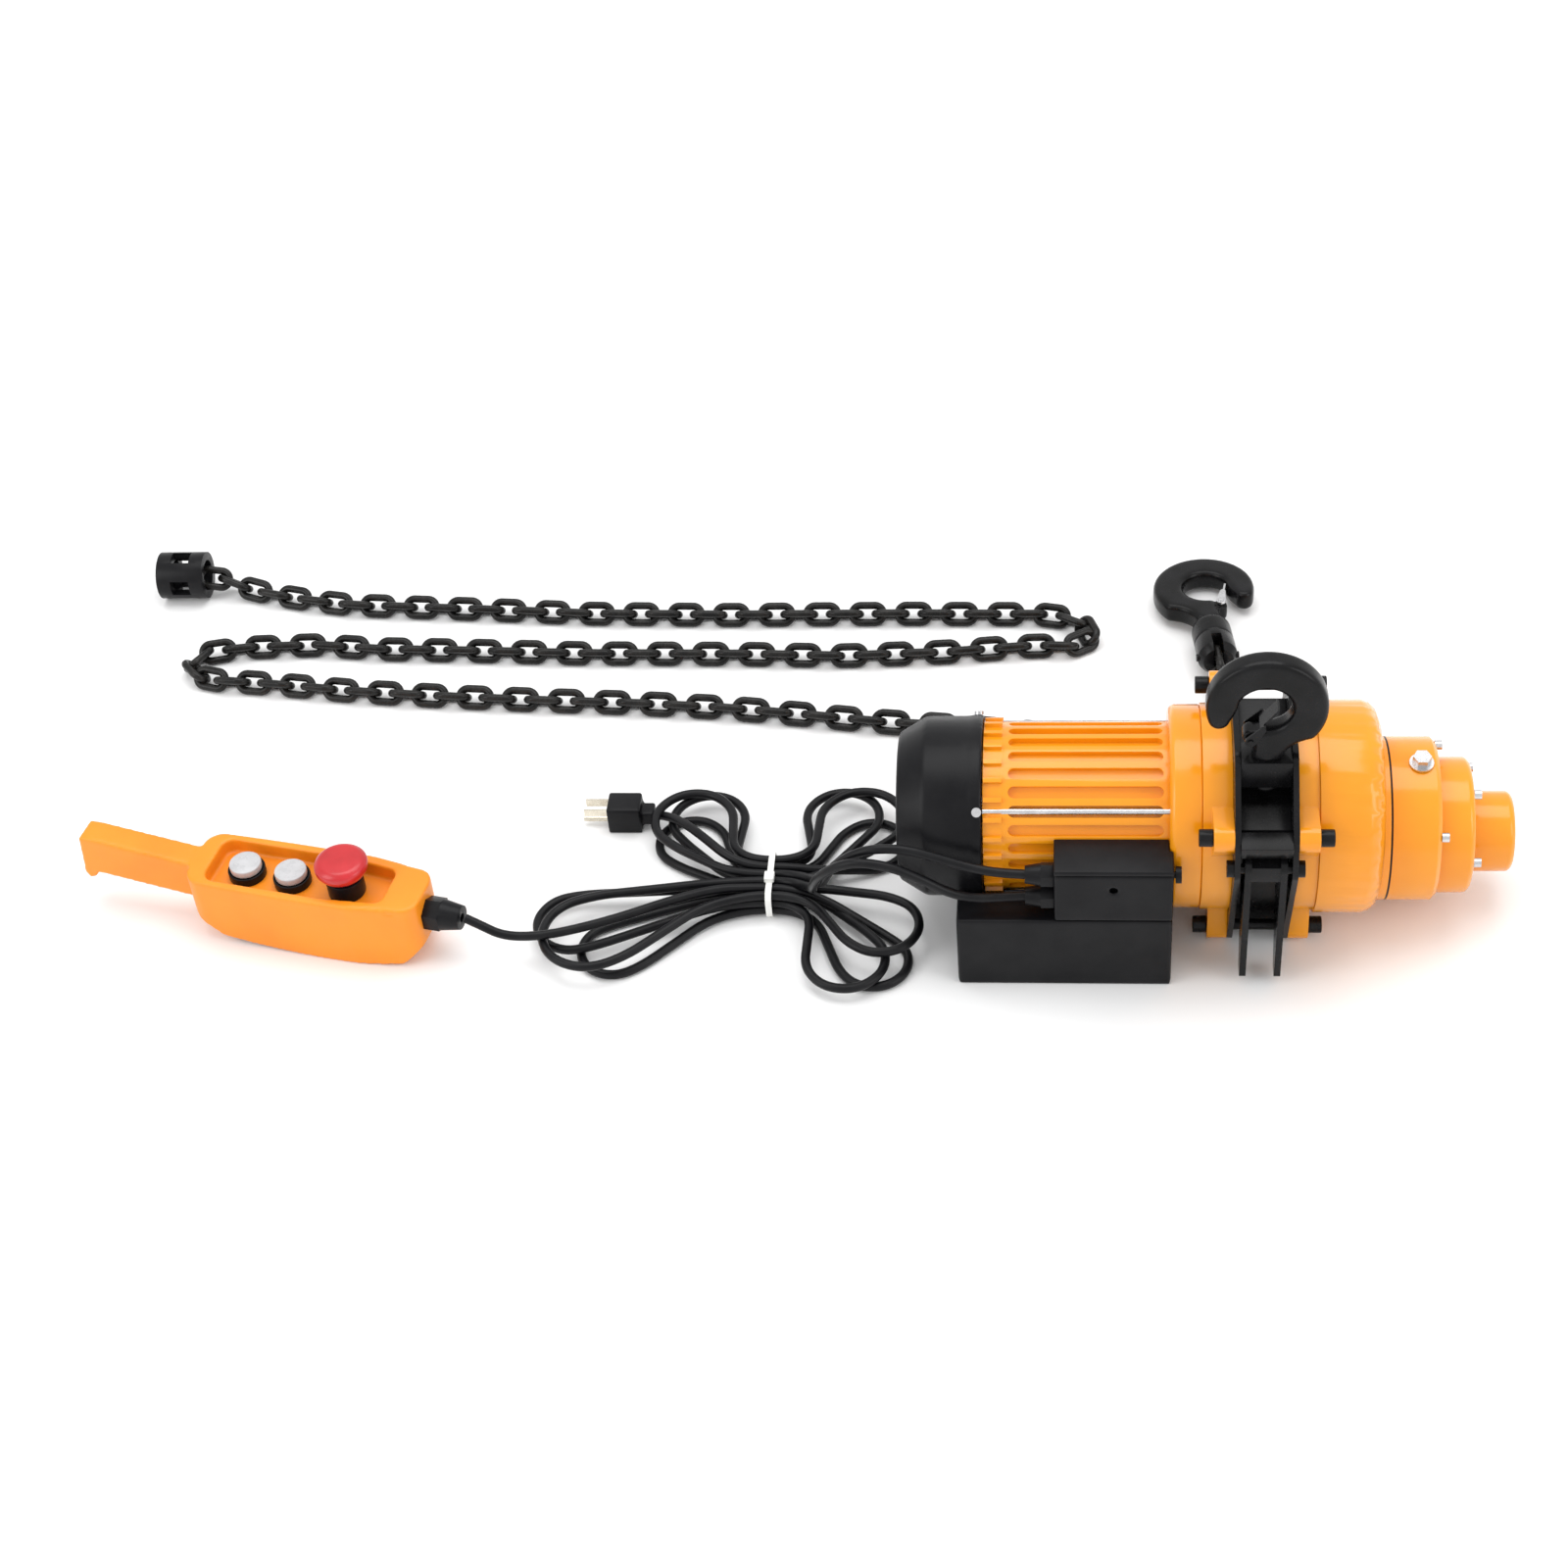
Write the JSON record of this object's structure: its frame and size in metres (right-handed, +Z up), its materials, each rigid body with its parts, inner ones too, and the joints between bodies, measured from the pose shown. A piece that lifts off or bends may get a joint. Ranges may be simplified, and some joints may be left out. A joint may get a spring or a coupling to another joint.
{
  "type": "electric chain hoist",
  "caption": "Electric chain hoist with finned motor, gear case, top and load hooks, load chain, control box, tied cords and a pendant with up, down and stop buttons.",
  "frame": {"origin": "on the floor, under the middle of the hoist and its pendant, cords and chains left out", "axes": "+X along the motor from the fan cover to the end cap, +Y away from the control box towards the load hook, +Z up"},
  "size_m": [1.0975, 0.528, 0.261],
  "materials": {
    "satin_black": "satin",
    "yellow_paint": "gloss",
    "black_steel": "satin",
    "steel": "satin",
    "plated_steel": "gloss",
    "core_steel": "matte",
    "chain_steel": "satin",
    "cord_rubber": "matte",
    "pendant_plastic": "satin",
    "black_plastic": "satin",
    "silver_button": "satin",
    "red_plastic": "gloss",
    "white_plastic": "satin",
    "brass_pins": "satin",
    "gasket": "matte"
  },
  "bodies": {
    "hoist": {"bearings": "steel", "box_contents": "black_plastic", "box_glands": "black_plastic", "brake_cap": "yellow_paint", "brake_magnet": "core_steel", "button_collars": "black_plastic", "cable_tie": "white_plastic", "case_bolts": "black_steel", "case_left": "yellow_paint", "case_right": "yellow_paint", "chain_guide": "black_steel", "chain_stopper": "black_plastic", "contact_blocks": "black_plastic", "control_box": "satin_black", "control_cord": "cord_rubber", "control_lid": "satin_black", "cord_hank": "cord_rubber", "cover_screws": "plated_steel", "electrical_box": "satin_black", "end_cap": "yellow_paint", "fan_cover": "satin_black", "fork_pivot": "black_steel", "gear_cover": "yellow_paint", "gear_gasket": "gasket", "gear_housing": "yellow_paint", "load_chain": "chain_steel", "motor_flange": "yellow_paint", "motor_housing": "yellow_paint", "motor_rear_bracket": "yellow_paint", "oil_plug": "plated_steel", "pendant_base": "black_plastic", "pendant_cord": "cord_rubber", "pendant_gland": "cord_rubber", "pendant_shell": "pendant_plastic", "plug_body": "cord_rubber", "plug_pins": "brass_pins", "power_cord": "cord_rubber", "side_plates": "black_steel", "slack_chain_far": "chain_steel", "slack_chain_near": "chain_steel", "spacer_bar": "black_steel", "stator": "core_steel", "swivel_socket": "black_steel", "thumb_screw": "black_plastic", "tie_rods": "plated_steel"},
    "rotor": {"rotor_core": "core_steel", "motor_shaft": "steel", "cooling_fan": "black_plastic"},
    "layshaft_set": {"layshaft": "steel", "brake_disc": "steel"},
    "sheave": {"load_sheave": "core_steel"},
    "crosshead_block": {"crosshead": "black_steel"},
    "upper_hook": {"top_hook": "black_steel"},
    "upper_latch": {"top_latch": "black_steel"},
    "fork": {"limit_fork": "black_steel"},
    "up_key": {"up_button": "silver_button"},
    "down_key": {"down_button": "silver_button"},
    "stop_key": {"stop_button": "red_plastic"},
    "lower_hook": {"load_hook": "black_steel"},
    "lower_latch": {"load_latch": "steel"}
  },
  "joints": [
    {"name": "rotor_spin", "type": "hinge", "parent": "hoist", "child": "rotor", "pos_m": [0.2178, 0.0023, 0.09], "axis": [1, 0, 0], "continuous": true},
    {"name": "layshaft_spin", "type": "hinge", "parent": "hoist", "child": "layshaft_set", "pos_m": [0.4, 0.01246, 0.05546], "axis": [1, 0, 0], "continuous": true},
    {"name": "sheave_spin", "type": "hinge", "parent": "hoist", "child": "sheave", "pos_m": [0.3463, 0.0023, 0.09], "axis": [1, 0, 0], "continuous": true},
    {"name": "crosshead_tilt", "type": "hinge", "parent": "hoist", "child": "crosshead_block", "pos_m": [0.3463, -0.03573, 0.16397], "axis": [1, 0, 0], "range_deg": [-12, 25]},
    {"name": "top_hook_swivel", "type": "hinge", "parent": "crosshead_block", "child": "upper_hook", "pos_m": [0.3463, -0.03573, 0.16397], "axis": [0, 0, 1], "continuous": true},
    {"name": "top_latch_swing", "type": "hinge", "parent": "upper_hook", "child": "upper_latch", "pos_m": [0.3343, -0.03573, 0.19397], "axis": [0, -1, 0], "range_deg": [0, 45]},
    {"name": "fork_swing", "type": "hinge", "parent": "hoist", "child": "fork", "pos_m": [0.3463, -0.0827, 0.11], "axis": [1, 0, 0], "range_deg": [-20, 4]},
    {"name": "up_press", "type": "slide", "parent": "hoist", "child": "up_key", "axis": [0, 0, -1], "range_m": [0, 0.004], "stiffness_N_per_m": 400},
    {"name": "down_press", "type": "slide", "parent": "hoist", "child": "down_key", "axis": [0, 0, -1], "range_m": [0, 0.004], "stiffness_N_per_m": 400},
    {"name": "stop_press", "type": "slide", "parent": "hoist", "child": "stop_key", "axis": [0, 0, -1], "range_m": [0, 0.004], "stiffness_N_per_m": 600},
    {"name": "load_hook_swivel", "type": "hinge", "parent": "hoist", "child": "lower_hook", "pos_m": [0.3273, 0.2673, 0.0183], "axis": [-0.1095, 0.9915, -0.0698], "continuous": true},
    {"name": "load_latch_swing", "type": "hinge", "parent": "lower_hook", "child": "lower_latch", "pos_m": [0.33397, 0.31621, 0.01495], "axis": [-0.0077, 0.0693, 0.9976], "range_deg": [0, 40], "stiffness_Nm_per_rad": 0.02, "springref_deg": -22.92}
  ],
  "couplings": [
    {"joint": "layshaft_spin", "follows": "rotor_spin", "ratio": -0.2},
    {"joint": "sheave_spin", "follows": "rotor_spin", "ratio": 0.05}
  ]
}
